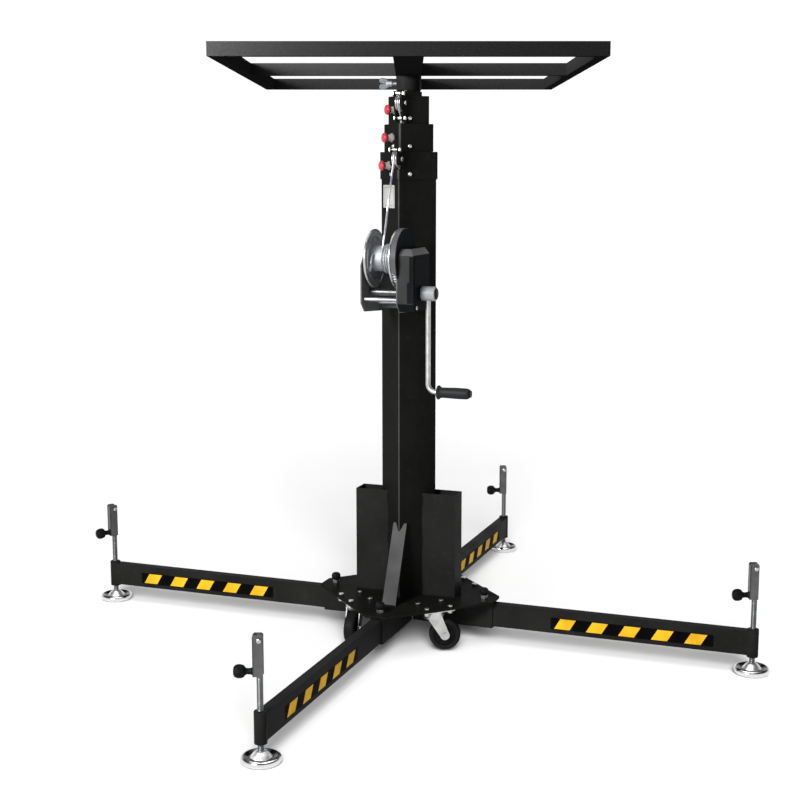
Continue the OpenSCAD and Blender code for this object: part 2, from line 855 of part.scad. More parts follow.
module wing_screw() {
    color("#d0d0cc") rotate(tray_turn) {
        along_x(-sleeve_r - 14, -spigot_r - slide_fit, 0, wing_z, wing_r);
        along_x(-sleeve_r - 24, -sleeve_r - 10, 0, wing_z, 6.5);
        for (s = [-1, 1]) translate([-sleeve_r, 0, wing_z - wing_t / 2]) linear_extrude(wing_t) hull() {
            translate([-19, s * 4]) circle(4);
            translate([-39, s * 11]) circle(5);
        }
    }
}

// Legs and jacks, with local x outward along the leg

module leg(i) {
    low = leg_z - leg_h / 2;
    color("#1e1e1c") rotate(90 * (i - 1)) difference() {
        union() {
            difference() {
                translate([leg_in, -leg_t / 2, low]) cube([foot_radius - leg_in, leg_t, leg_h]);
                translate([leg_in - 1, leg_wall - leg_t / 2, low + leg_wall])
                    cube([foot_radius - leg_in, leg_t - 2 * leg_wall, leg_h - 2 * leg_wall]);
            }
            translate([foot_radius, 0, nut_low]) cylinder(r = nut_r, h = leg_z + leg_h / 2 + 4 - nut_low);
        }
        translate([foot_radius, 0, 0]) cylinder(r = spindle_r + run_fit, h = far);
    }
}

module foot(i) {
    r = foot_d / 2;
    color("#d6d6d6") rotate(90 * (i - 1)) translate([foot_radius, 0, 0]) rotate_extrude() polygon([
        [0, 0], [r - 9, 0], [r - 4, 1.6], [r - 1, 6], [r, 10], [r - 1.6, 14], [r - 5.6, 16.4],
        [r - 12, 16.2], [r - 19, 14.8], [21, 15], [18, 19], [14, 22.6], [10, 24.5],
        [spindle_r + run_fit, 25], [spindle_r + run_fit, spindle_low - 0.3],
        [0, spindle_low - 0.3]
    ]);
}

module at_jack(i) {
    rotate(90 * (i - 1)) translate([foot_radius, 0, 0]) rotate(jack_turns[i - 1] - 90 * (i - 1)) children();
}

module spindle(i) {
    color("#b8b8b4") at_jack(i) difference() {
        translate([0, 0, spindle_low]) cylinder(r = spindle_r, h = pivot_z + 7 - spindle_low);
        translate([0, -far / 2, pivot_z]) rotate([-90, 0, 0]) cylinder(r = pivot_r + run_fit, h = far);
    }
}

// a channel that folds about the pin at the spindle's top, with a knob on its web
module jack_crank(i) {
    web_out = arm_web + arm_sheet;
    color("#cfcfcb") at_jack(i) {
        difference() {
            translate([-9, -arm_inner - arm_sheet, arm_low])
                cube([web_out + 9, 2 * (arm_inner + arm_sheet), arm_top - arm_low]);
            translate([-10, -arm_inner, arm_low - 1])
                cube([arm_web + 10, 2 * arm_inner, arm_top - arm_low + 2]);
            translate([0, -far / 2, pivot_z]) rotate([-90, 0, 0]) cylinder(r = pivot_r, h = far);
        }
        translate([0, -arm_inner - arm_sheet, pivot_z]) rotate([-90, 0, 0])
            cylinder(r = pivot_r, h = 2 * (arm_inner + arm_sheet));
        for (s = [-1, 1])
            translate([0, s > 0 ? arm_inner + arm_sheet : -arm_inner - arm_sheet - 2, pivot_z])
                rotate([-90, 0, 0])
                cylinder(r = 5, h = 2);
    }
    color("#151515") at_jack(i) translate([web_out, 0, jack_knob_z]) rotate([0, 90, 0])
        rotate_extrude() polygon([
        [0, 0], [9, 0], [7, 4], [6.5, 12], [9, 16], [14, 19],
        [15, 23], [15, 32], [13, 37], [8, 40], [0, 40.5]
    ]);
}

module leg_lock(i) {
    tip = leg_z + leg_h / 2 + slide_fit;
    head = mast_z + 10;
    rotate(90 * (i - 1)) translate([lock_at, 0, 0]) {
        color("#c4c4c0") translate([0, 0, tip]) cylinder(r = clamp_r, h = head - tip);
        color("#141414") translate([0, 0, head]) rotate_extrude() polygon([
            [0, 0], [8, 0], [8, 5], [12, 8], [12, 24], [10.5, 26.5], [0, 27]
        ]);
    }
}

// Castors, with local x along the trail

module at_castor(i) {
    rotate(45 + 90 * (i - 1)) translate([castor_at * root2, 0, 0])
        rotate(castor_turns[i - 1] - 45 - 90 * (i - 1)) children();
}

module castor_fork(i) {
    color("#c8c8c6") at_castor(i) {
        difference() {
            union() {
                translate([0, 0, crown_z]) cylinder(r = 26, h = castor_z - rest_gap - crown_z);
                for (s = [-1, 1])
                    translate([0, s > 0 ? fork_in + fork_t : -fork_in, 0]) rotate([90, 0, 0])
                        linear_extrude(fork_t)
                        difference() {
                            union() {
                                polygon([
                                    [-20, crown_z + 8], [20, crown_z + 8], [castor_trail + 11, wheel_z + 4],
                                    [castor_trail - 10, wheel_z - 6]
                                ]);
                                translate([castor_trail, wheel_z]) circle(12);
                            }
                            translate([castor_trail, wheel_z]) circle(axle_bolt_r);
                        }
            }
            translate([0, 0, crown_z - 1]) cylinder(r = kingpin_r + run_fit, h = far);
        }
        translate([castor_trail, fork_in + fork_t, wheel_z]) rotate([90, 0, 0])
            cylinder(r = axle_bolt_r, h = 2 * (fork_in + fork_t));
        for (s = [-1, 1])
            translate([castor_trail, s > 0 ? fork_in + fork_t + 4 : -fork_in - fork_t, wheel_z])
                rotate([90, 0, 0])
                cylinder(r = 8, h = 4, $fn = 6);
    }
}

module castor_wheel(i) {
    r = wheel_d / 2;
    w = wheel_w / 2;
    color("#2a2a2a") at_castor(i) translate([castor_trail, 0, wheel_z]) rotate([90, 0, 0])
        rotate_extrude() polygon([
        [axle_bolt_r + run_fit, -w - 1], [11, -w - 1], [11, -w + 4],
        [r - 12, -w + 4], [r - 9, -w], [r - 5, -w],
        [r, -w + 5], [r, w - 5], [r - 5, w], [r - 9, w], [r - 12, w - 4], [11, w - 4], [11, w + 1],
        [axle_bolt_r + run_fit, w + 1]
    ]);
}

base_plate();
leg_sockets();
mast_gussets();
base_fasteners();
mast_section(1);  // mast_1
mast_section(2);  // mast_2
mast_section(3);  // mast_3
mast_head();  // mast_4
guide_pads(1);  // guide_pads_1
guide_pads(2);  // guide_pads_2
guide_pads(3);  // guide_pads_3
guide_pads(4);  // guide_pads_4
collar_hardware(1);  // collar_hardware_1
collar_hardware(2);  // collar_hardware_2
collar_hardware(3);  // collar_hardware_3
lock_plunger(1);  // lock_plunger_1
lock_plunger(2);  // lock_plunger_2
lock_plunger(3);  // lock_plunger_3
sheave(1);  // sheave_1
sheave(2);  // sheave_2
sheave(3);  // sheave_3
winch_frame();
winch_gear_cover();
winch_hardware();
rope_drum();
crank_shaft();
winch_crank();
crank_grip();
winch_pawl();
wire_rope();
tray_frame();
wing_screw();
leg(1);  // leg_1
leg(2);  // leg_2
leg(3);  // leg_3
leg(4);  // leg_4
foot(1);  // foot_1
foot(2);  // foot_2
foot(3);  // foot_3
foot(4);  // foot_4
spindle(1);  // spindle_1
spindle(2);  // spindle_2
spindle(3);  // spindle_3
spindle(4);  // spindle_4
jack_crank(1);  // jack_crank_1
jack_crank(2);  // jack_crank_2
jack_crank(3);  // jack_crank_3
jack_crank(4);  // jack_crank_4
leg_lock(1);  // leg_lock_1
leg_lock(2);  // leg_lock_2
leg_lock(3);  // leg_lock_3
leg_lock(4);  // leg_lock_4
castor_fork(1);  // castor_fork_1
castor_fork(2);  // castor_fork_2
castor_fork(3);  // castor_fork_3
castor_fork(4);  // castor_fork_4
castor_wheel(1);  // castor_wheel_1
castor_wheel(2);  // castor_wheel_2
castor_wheel(3);  // castor_wheel_3
castor_wheel(4);  // castor_wheel_4
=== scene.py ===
"""Looks for the wind-up telescopic lifting tower: finishes, surface detail, studio and camera."""

import json
import math

import bmesh
import bpy
from mathutils import Matrix, Vector


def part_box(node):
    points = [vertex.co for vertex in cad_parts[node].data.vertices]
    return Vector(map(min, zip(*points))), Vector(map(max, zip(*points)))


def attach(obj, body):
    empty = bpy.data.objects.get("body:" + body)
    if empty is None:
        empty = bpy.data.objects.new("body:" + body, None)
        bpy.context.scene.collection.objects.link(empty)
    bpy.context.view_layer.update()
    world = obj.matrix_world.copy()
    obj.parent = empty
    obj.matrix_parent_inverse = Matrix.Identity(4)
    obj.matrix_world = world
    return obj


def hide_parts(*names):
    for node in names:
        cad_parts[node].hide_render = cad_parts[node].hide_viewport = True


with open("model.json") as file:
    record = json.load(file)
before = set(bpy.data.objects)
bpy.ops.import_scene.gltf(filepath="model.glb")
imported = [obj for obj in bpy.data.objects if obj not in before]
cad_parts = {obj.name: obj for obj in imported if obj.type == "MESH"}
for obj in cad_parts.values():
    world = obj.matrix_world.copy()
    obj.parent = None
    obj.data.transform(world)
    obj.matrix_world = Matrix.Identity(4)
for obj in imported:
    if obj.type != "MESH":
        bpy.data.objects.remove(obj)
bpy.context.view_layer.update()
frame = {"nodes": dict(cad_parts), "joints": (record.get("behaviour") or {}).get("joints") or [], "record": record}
NODES = frame["nodes"]
JOINT = {j["name"]: j for j in frame["joints"]}
MM = 0.001
Z = Vector((0, 0, 1))
QUARTERS = {1: Vector((1, 0, 0)), 2: Vector((0, 1, 0)), 3: Vector((-1, 0, 0)), 4: Vector((0, -1, 0))}


# Materials

class Shader:
    """A node material with a Principled surface and a few helpers for procedural detail."""

    def __init__(self, name, color, metallic=0.0, roughness=0.5, specular=0.5):
        self.material = bpy.data.materials.new(name)
        self.material.use_nodes = True
        self.tree = self.material.node_tree
        self.surface = self.tree.nodes["Principled BSDF"]
        self.surface.inputs["Base Color"].default_value = (*color, 1)
        self.surface.inputs["Metallic"].default_value = metallic
        self.surface.inputs["Roughness"].default_value = roughness
        self.surface.inputs["Specular IOR Level"].default_value = specular
        self.place = self.tree.nodes.new("ShaderNodeTexCoord").outputs["Object"]
        self.material.diffuse_color = (*color, 1)

    def node(self, kind, **inputs):
        made = self.tree.nodes.new(kind)
        for key, value in inputs.items():
            socket = made.inputs[key.replace("_", " ")]
            if isinstance(value, bpy.types.NodeSocket):
                self.tree.links.new(value, socket)
            else:
                socket.default_value = value
        return made

    def noise(self, scale, detail=3.0, stretch=(1, 1, 1)):
        place = self.node("ShaderNodeMapping", Vector=self.place, Scale=stretch).outputs[0]
        return self.node("ShaderNodeTexNoise", Vector=place, Scale=scale, Detail=detail).outputs["Fac"]

    def ramp(self, value, low, high, at=(0.35, 0.65)):
        """The value's stretch between the two limits in at, spread from low to high."""
        made = self.node("ShaderNodeMapRange", Value=value)
        for key, number in zip(("From Min", "From Max", "To Min", "To Max"), (*at, low, high)):
            made.inputs[key].default_value = number
        return made.outputs[0]

    def mix(self, fac, first, second):
        made = self.node("ShaderNodeMix")
        made.data_type = "RGBA"
        colors = [s for s in made.inputs if s.type == "RGBA"]
        for socket, value in zip(colors, (first, second)):
            if isinstance(value, bpy.types.NodeSocket):
                self.tree.links.new(value, socket)
            else:
                socket.default_value = (*value, 1)
        self.tree.links.new(fac, made.inputs[0])
        return next(s for s in made.outputs if s.type == "RGBA")

    def set(self, socket, value):
        """Links a node's output to a socket of the surface."""
        self.tree.links.new(value, self.surface.inputs[socket])

    def bump(self, height, distance, strength=1.0):
        made = self.node("ShaderNodeBump", Height=height, Strength=strength, Distance=distance)
        self.set("Normal", made.outputs[0])


def shade(color, factor):
    """A colour made lighter or darker."""
    return tuple(min(1.0, c * factor) for c in color)


def powder_coat(name, color, roughness, specular):
    """Baked powder coat: a fine orange peel, cloudy gloss and a little dust."""
    s = Shader(name, color, 0.0, roughness, specular)
    peel = s.noise(620, 2)
    clouds = s.noise(9, 4)
    dust = s.noise(60, 5)
    tint = s.mix(s.ramp(clouds, 0.0, 1.0), shade(color, 0.86), shade(color, 1.2))
    s.set("Base Color", s.mix(s.ramp(dust, 0.0, 0.35, (0.55, 0.8)), tint, shade(color, 2.2)))
    s.set("Roughness", s.ramp(clouds, roughness - 0.05, roughness + 0.08))
    s.bump(peel, 0.00016, 0.5)
    return s.material


def plated(name, color, roughness, grain=(1, 1, 1)):
    """Bright zinc or bare steel: metallic, with cloudy plating and fine drawn lines."""
    s = Shader(name, color, 1.0, roughness)
    clouds = s.noise(45, 4)
    lines = s.noise(900, 2, grain)
    s.set("Base Color", s.mix(s.ramp(clouds, 0.0, 1.0), shade(color, 0.82), shade(color, 1.08)))
    s.set("Roughness", s.ramp(lines, roughness - 0.06, roughness + 0.1))
    s.bump(lines, 0.00005, 0.4)
    return s.material


def textured_coat(name, color):
    """Coarse textured powder coat: a matt, speckled black."""
    s = Shader(name, color, 0.0, 0.8, 0.0)
    speckle = s.noise(560, 2)
    s.set("Base Color", s.mix(s.ramp(speckle, 0.0, 1.0, (0.4, 0.62)), shade(color, 0.8), shade(color, 1.3)))
    s.bump(speckle, 0.0003, 0.4)
    return s.material


def chrome(name, color, roughness=0.15):
    """Polished plating with a slightly uneven gloss."""
    s = Shader(name, color, 1.0, roughness)
    s.set("Roughness", s.ramp(s.noise(70, 4), roughness - 0.03, roughness + 0.04))
    return s.material


def moulded(name, color, roughness, grain=1100, specular=0.3):
    """Moulded plastic or rubber with a fine spark-eroded grain."""
    s = Shader(name, color, 0.0, roughness, specular)
    fine = s.noise(grain, 2)
    clouds = s.noise(25, 3)
    s.set("Base Color", s.mix(s.ramp(clouds, 0.0, 1.0), shade(color, 0.85), shade(color, 1.18)))
    s.set("Roughness", s.ramp(clouds, roughness - 0.06, roughness + 0.08))
    s.bump(fine, 0.00008, 0.5)
    return s.material


MATERIALS = {
    "black_paint": powder_coat("black_paint", (0.0066, 0.0066, 0.0062), 0.36, 0.004),
    # Painted light: a lighter copy of the black paint for the legs, sockets and pockets.
    "frame_paint": powder_coat("frame_paint", (0.0112, 0.0112, 0.0109), 0.4, 0.01),
    # Painted highlight: a lighter, glossier copy of the black paint for the mast's rounded front corner.
    "edge_paint": powder_coat("edge_paint", (0.036, 0.036, 0.034), 0.4, 0.06),
    "tray_paint": textured_coat("tray_paint", (0.0056, 0.0057, 0.0056)),
    "dark_paint": powder_coat("dark_paint", (0.07, 0.072, 0.073), 0.42, 0.1),
    # Painted light: a lighter copy of the black paint for the front brace.
    "brace_paint": powder_coat("brace_paint", (0.0128, 0.013, 0.0138), 0.42, 0.12),
    "zinc": plated("zinc", (0.58, 0.58, 0.57), 0.27),
    # Dull zinc, the jack cranks' own finish; also painted shade on the crank shaft and the left castor forks.
    "dull_zinc": plated("dull_zinc", (0.125, 0.128, 0.127), 0.4, (1, 1, 0.06)),
    "spindle_steel": plated("spindle_steel", (0.15, 0.155, 0.16), 0.34),
    "satin_steel": plated("satin_steel", (0.46, 0.46, 0.45), 0.42, (1, 1, 0.06)),
    "steel": plated("steel", (0.42, 0.43, 0.44), 0.3, (1, 1, 0.06)),
    "drum_steel": plated("drum_steel", (0.34, 0.355, 0.37), 0.52),
    "core_steel": plated("core_steel", (0.42, 0.44, 0.46), 0.62),
    # Painted light: lighter copies of the cover's plastic, for its front face and for its roof and the arc over
    # the drum.
    "grey_plastic": moulded("grey_plastic", (0.0165, 0.017, 0.0172), 0.45, specular=0.08),
    "roof_plastic": moulded("roof_plastic", (0.062, 0.062, 0.066), 0.45, specular=0.1),
    "cover_plastic": moulded("cover_plastic", (0.0058, 0.0068, 0.0074), 0.5, specular=0.004),
    "rope_steel": plated("rope_steel", (0.56, 0.58, 0.61), 0.34),
    "chrome": chrome("chrome", (0.74, 0.74, 0.75)),
    # Painted reflection: a dark copy of the chrome for the foot's dish and a brighter, rougher copy for its cone.
    "dish_metal": chrome("dish_metal", (0.08, 0.08, 0.084)),
    "cone_metal": chrome("cone_metal", (0.93, 0.93, 0.94), 0.38),
    "nylon": moulded("nylon", (0.72, 0.7, 0.63), 0.45),
    "black_plastic": moulded("black_plastic", (0.0052, 0.0055, 0.0058), 0.36, specular=0.035),
    "grip_rubber": moulded("grip_rubber", (0.0125, 0.0135, 0.0145), 0.5, specular=0.1),
    "barrel_grey": moulded("barrel_grey", (0.27, 0.265, 0.26), 0.4, specular=0.3),
    "hub_grey": moulded("hub_grey", (0.19, 0.197, 0.205), 0.45, specular=0.3),
    "red_plastic": moulded("red_plastic", (0.33, 0.015, 0.023), 0.24, 700, 0.4),
    "wheel_rubber": moulded("wheel_rubber", (0.008, 0.008, 0.008), 0.55, specular=0.04),
    "yellow_vinyl": moulded("yellow_vinyl", (0.58, 0.325, 0.013), 0.4, 500, 0.03),
    # Black vinyl of the stickers and print; also painted shade on the swivel sleeve and in the cover screws'
    # sockets.
    "black_vinyl": moulded("black_vinyl", (0.002, 0.002, 0.002), 0.5, 500, 0.01),
    "label_film": moulded("label_film", (0.3, 0.303, 0.29), 0.4, 500, 0.2),
}


# CAD nodes

BEVEL = {"mast": 0.5, "tray": 1.4, "leg_s": 1.2, "leg_1": 1.5, "leg_2": 1.5, "leg_3": 1.5, "leg_4": 1.5,
         "base_plate": 0.8, "winch_frame": 0.9, "winch_gear": 1.6, "castor_fork": 0.7, "jack": 0.6}
SKIP_BEVEL = ("rope_drum", "crank_shaft", "wire_rope", "guide_pads")

for subpart in frame["record"]["subparts"]:
    node = NODES[subpart["node"]]
    node.data.materials.clear()
    node.data.materials.append(MATERIALS[subpart["material_slot"]])
    if node.name.startswith(SKIP_BEVEL):
        continue
    weld = node.modifiers.new("weld", "WELD")
    weld.merge_threshold = 1e-6
    bevel = node.modifiers.new("bevel", "BEVEL")
    bevel.width = MM * next((w for k, w in BEVEL.items() if node.name.startswith(k)), 0.4)
    bevel.segments = 2
    bevel.limit_method = "ANGLE"
    bevel.angle_limit = math.radians(35)
    bevel.harden_normals = True


def repaint(obj, material, wanted):
    """Gives the polygons of an object that pass the test another material. Positions are in millimetres."""
    mesh = obj.data
    mesh.materials.append(MATERIALS[material])
    for face in mesh.polygons:
        if wanted(face.center / MM, face.normal):
            face.material_index = len(mesh.materials) - 1


def only(name, material):
    """Gives a whole CAD node one material."""
    NODES[name].data.materials[0] = MATERIALS[material]


EDGE_HALF, FORK_TOP, SLEEVE_TOP, SLEEVE_R = 5, 98, 1439, 36
GRIP_END_X, HUB_END_X, HUB_Z, BRACE_HALF, BRACE_BACK = 213.9, 124.1, 895, 20.2, -50

for number in QUARTERS:
    # Painted light: the legs get the lighter copy of the black paint.
    only(f"leg_{number}", "frame_paint")
    # Painted highlight: the mast's rounded front corner gets the lighter edge paint.
    repaint(NODES[f"mast_{number}"], "edge_paint", lambda at, to: to.y < -0.93 and abs(at.x) < EDGE_HALF)
    # Painted shade: the forks of the castors on the left get the dark zinc below FORK_TOP.
    if JOINT[f"castor_wheel_{number}_roll"]["pos_m"][0] < 0:
        repaint(NODES[f"castor_fork_{number}"], "dull_zinc", lambda at, to: at.z < FORK_TOP)
# Painted light: the leg sockets and the pockets get the lighter copy of the black paint too.
only("leg_sockets", "frame_paint")
only("mast_gussets", "frame_paint")
only("winch_crank", "satin_steel")
only("winch_hardware", "steel")
# Painted shade: the crank shaft gets the dark zinc.
only("crank_shaft", "dull_zinc")
only("tray_frame", "tray_paint")
# Painted shade: the swivel sleeve under the tray gets a black darker than the tray's paint.
repaint(NODES["tray_frame"], "black_vinyl", lambda at, to: at.z < SLEEVE_TOP and at.xy.length < SLEEVE_R)
repaint(NODES["winch_crank"], "black_plastic", lambda at, to: at.x > GRIP_END_X)
repaint(NODES["winch_crank"], "black_plastic", lambda at, to: at.x > HUB_END_X and at.z > HUB_Z)
repaint(NODES["rope_drum"], "core_steel", lambda at, to: abs(to.x) < 0.5)
repaint(NODES["rope_drum"], "drum_steel", lambda at, to: abs(to.x) > 0.9)
# Painted light: the front brace gets the lighter copy of the black paint.
repaint(NODES["mast_gussets"], "brace_paint", lambda at, to: abs(at.x) < BRACE_HALF and at.y < BRACE_BACK)


# Mesh helpers, in millimetres

def smooth_line(points, steps=6):
    """A Catmull-Rom curve through the points."""
    points = [Vector(p) for p in points]
    ends = [points[0] * 2 - points[1], *points, points[-1] * 2 - points[-2]]
    line = []
    for a, b, c, d in zip(ends, ends[1:], ends[2:], ends[3:]):
        for i in range(steps):
            t = i / steps
            line.append(0.5 * (2 * b + (c - a) * t + (2 * a - 5 * b + 4 * c - d) * t * t
                               + (3 * b - a - 3 * c + d) * t ** 3))
    return [*line, points[-1]]


def basis(origin, x, y):
    """A frame at origin with these x and y directions."""
    x, y = Vector(x).normalized(), Vector(y).normalized()
    z = x.cross(y)
    return Matrix(((x.x, y.x, z.x, origin[0]), (x.y, y.y, z.y, origin[1]), (x.z, y.z, z.z, origin[2]),
                   (0, 0, 0, 1)))


def along(origin, axis):
    """A frame at origin with z along axis."""
    axis = Vector(axis).normalized()
    side = axis.orthogonal().normalized()
    return basis(origin, side, axis.cross(side))


def frames_along(path):
    """Each point of a path, two directions across it that twist little, and the distance run so far."""
    path = [Vector(p) for p in path]
    ahead = (path[1] - path[0]).normalized()
    side = ahead.orthogonal().normalized()
    run = 0.0
    for i, p in enumerate(path):
        run += (p - path[i - 1]).length if i else 0.0
        new = (path[min(i + 1, len(path) - 1)] - path[max(i - 1, 0)]).normalized()
        side = (ahead.rotation_difference(new) @ side).normalized()
        ahead = new
        yield p, side, ahead.cross(side), run


class Solid:
    """Shapes in millimetres that become one piece."""

    def __init__(self):
        self.verts, self.faces, self.slots = [], [], []

    def add(self, verts, faces, slot=0):
        start = len(self.verts)
        self.verts += [tuple(v) for v in verts]
        self.faces += [[start + i for i in f] for f in faces]
        self.slots += [slot] * len(faces)

    def rings(self, rings, slot=0, loop=False):
        """A skin over rings of points. It ends in caps, or joins the last ring to the first."""
        n, count = len(rings[0]), len(rings)
        faces = [[r * n + i, r * n + (i + 1) % n, (r + 1) % count * n + (i + 1) % n, (r + 1) % count * n + i]
                 for r in range(count if loop else count - 1) for i in range(n)]
        if not loop:
            faces += [list(range(n))[::-1], [(count - 1) * n + i for i in range(n)]]
        self.add([v for ring in rings for v in ring], faces, slot)

    def lathe(self, profile, place, segments=48, slot=0, lobes=0, depth=0.0, loop=False):
        """Revolves (radius, height) points about the frame's z. Lobes flute the radius, a loop is hollow."""
        rings = []
        for p in profile:
            ring = []
            for i in range(segments):
                a = 2 * math.pi * i / segments
                r = max(p[0], 0.02) * (1 + depth * math.cos(lobes * a))
                ring.append(place @ Vector((r * math.cos(a), r * math.sin(a), p[1])))
            rings.append(ring)
        self.rings(rings, slot, loop)

    def sweep(self, path, radius, sides=8, slot=0):
        """A tube along a path. The radius is a number, or a function of the distance along the path."""
        rings = []
        for p, side, up, run in frames_along(path):
            r = radius(run) if callable(radius) else radius
            rings.append([p + r * (math.cos(a) * side + math.sin(a) * up)
                          for a in (2 * math.pi * k / sides for k in range(sides))])
        self.rings(rings, slot)

    def prism(self, outline, place, depth, slot=0):
        """An outline in the frame's xy, as a plate from z = 0 to depth."""
        n = len(outline)
        verts = [place @ Vector((x, y, h)) for h in (0, depth) for x, y in outline]
        faces = [list(range(n))[::-1], list(range(n, 2 * n))]
        faces += [[i, (i + 1) % n, n + (i + 1) % n, n + i] for i in range(n)]
        self.add(verts, faces, slot)

    def weld(self, start, end, radius=2.2, step=2.6):
        """A bead with ripples, half sunk in the corner it joins."""
        start, end = Vector(start), Vector(end)
        count = max(4, int((end - start).length / 0.65))
        path = [start.lerp(end, i / count) for i in range(count + 1)]

        def ripple(run):
            taper = min(1.0, 0.35 + 0.3 * min(run, (end - start).length - run))
            return radius * taper * (0.86 + 0.14 * abs(math.sin(math.pi * run / step)))

        self.sweep(path, ripple, 8)

    def piece(self, name, body, slot, *materials, replaces=(), sharp=40):
        """Makes the mesh object, rides it on its body and hides the CAD nodes it stands for."""
        mesh = bpy.data.meshes.new(name)
        mesh.from_pydata([[c * MM for c in v] for v in self.verts], [], self.faces)
        for m in materials:
            mesh.materials.append(MATERIALS[m])
        mesh.polygons.foreach_set("material_index", self.slots)
        mesh.polygons.foreach_set("use_smooth", [True] * len(self.faces))
        made = bmesh.new()
        made.from_mesh(mesh)
        bmesh.ops.recalc_face_normals(made, faces=made.faces)
        made.to_mesh(mesh)
        made.free()
        mesh.set_sharp_from_angle(angle=math.radians(sharp))
        obj = bpy.data.objects.new(name, mesh)
        bpy.context.scene.collection.objects.link(obj)
        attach(obj, body)
        if replaces:
            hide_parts(*replaces)
        return obj


def soften(obj, width):
    """Rounds the sharp edges of a piece."""
    bevel = obj.modifiers.new("bevel", "BEVEL")
    bevel.width = width * MM
    bevel.segments = 2
    bevel.limit_method = "ANGLE"
    bevel.angle_limit = math.radians(25)
    bevel.harden_normals = True


def joint_at(name):
    """A joint's position in millimetres."""
    return [c / MM for c in JOINT[name]["pos_m"]]


def rounded(w, h, r, steps=5):
    """A rounded rectangle outline, centred."""
    outline = []
    for cx, cy, start in ((1, 1, 0), (-1, 1, 90), (-1, -1, 180), (1, -1, 270)):
        for i in range(steps + 1):
            a = math.radians(start + 90 * i / steps)
            outline.append((cx * (w / 2 - r) + r * math.cos(a), cy * (h / 2 - r) + r * math.sin(a)))
    return outline


# Legs

LEG_HALF_T = 12.5


def hazard_stickers():
    """Five slanted yellow bars on a black strip, on both sides of every leg."""
    length, height, corner, film, mid_r, mid_z = 408, 30, 2, 0.3, 592, 74
    bars, pitch, bar, lean, inset, half_h, bar_film = 5, 82, 40, 16, 9, 13.5, 0.5
    for i, out in QUARTERS.items():
        sticker = Solid()
        for side in (-1, 1):
            normal = Z.cross(out) * side
            place = basis(out * mid_r + normal * LEG_HALF_T + Z * mid_z, Z.cross(normal), Z)
            sticker.prism(rounded(length, height, corner), place, film)
            for k in range(bars):
                x = inset - length / 2 + k * pitch
                corners = [(x, -half_h), (x + bar, -half_h), (x + bar + lean, half_h), (x + lean, half_h)]
                sticker.prism(corners, place, bar_film, 1)
        sticker.piece(f"hazard_sticker_{i}", f"leg_{i}", "black_paint", "black_vinyl", "yellow_vinyl")


# Jacks

def threaded_rod(solid, place, low, high, r, pitch, depth, slot=0, segments=24):
    """A rod with a trapezoid thread cut into it, between two smooth ends."""
    step = pitch / 8
    rings = []
    for k in range(int((high - low) / step) + 1):
        z = low + k * step
        fade = min(1.0, (z - low) / pitch, (high - z) / pitch)
        ring = []
        for i in range(segments):
            turn = i / segments
            wave = abs(((z / pitch - turn) % 1.0) * 2 - 1)
            cut = depth * max(0.0, fade) * min(1.0, max(0.0, (wave - 0.3) * 2.5))
            a = 2 * math.pi * turn
            ring.append(place @ Vector(((r - cut) * math.cos(a), (r - cut) * math.sin(a), z)))
        rings.append(ring)
    solid.rings(rings, slot)


def feet_and_spindles():
    """Chromed foot discs with a rolled rim, a dish in dark chrome and a cone in brighter, rougher chrome, both
    painted reflections, and the jack spindles.
    """
    disc = smooth_line([(35, 0), (39.6, 1.6), (42.6, 5.6), (43.6, 9.6), (42.6, 13.4), (39.4, 16.2),
                        (35, 16.8), (30.5, 14.8), (26.5, 13), (24, 13.2), (22, 15.2), (18.4, 19.2),
                        (14.4, 22.9), (10.8, 25.9), (7.1, 27.2)], 5)
    cone_r, dish_r, dish_z = 23.4, 36.5, 9
    dome = [(6.4, 0), (6.2, 4), (5, 7), (3, 8.8), (0.1, 9.4)]
    rod_r, rod_low, rod_top, neck_r = 7.0, 10.3, 271.0, 6.6
    thread_low, thread_top, pitch, thread_d, lap = rod_low + 16, rod_top - 32, 4, 0.75, 0.2
    dome_low = rod_top - 6
    for i in QUARTERS:
        place = Matrix.Translation(Vector(joint_at(f"spindle_{i}_turn")) * Vector((1, 1, 0)))
        foot = Solid()
        foot.lathe([(0.02, 0), *disc], place, 72)
        made = foot.piece(f"foot_disc_{i}", f"foot_{i}", "chrome", "chrome", replaces=[f"foot_{i}"], sharp=60)
        axis = place.translation
        # Painted reflection: the dish gets the dark chrome and the cone the brighter chrome.
        repaint(made, "dish_metal", lambda at, to: cone_r < (at - axis).xy.length < dish_r and at.z > dish_z)
        repaint(made, "cone_metal", lambda at, to: (at - axis).xy.length < cone_r and at.z > dish_z)
        rod = Solid()
        threaded_rod(rod, place, thread_low, thread_top, rod_r, pitch, thread_d)
        rod.lathe([(rod_r, rod_low), (rod_r, thread_low + lap)], place, 24)
        rod.lathe([(rod_r, thread_top - lap), (rod_r, dome_low), (neck_r, dome_low + 1)], place, 24)
        rod.lathe([(r, dome_low + h) for r, h in smooth_line(dome, 3)], place, 24, 1)
        rod.piece(f"spindle_thread_{i}", f"spindle_{i}", "steel", "spindle_steel", "zinc",
                  replaces=[f"spindle_{i}"], sharp=30)


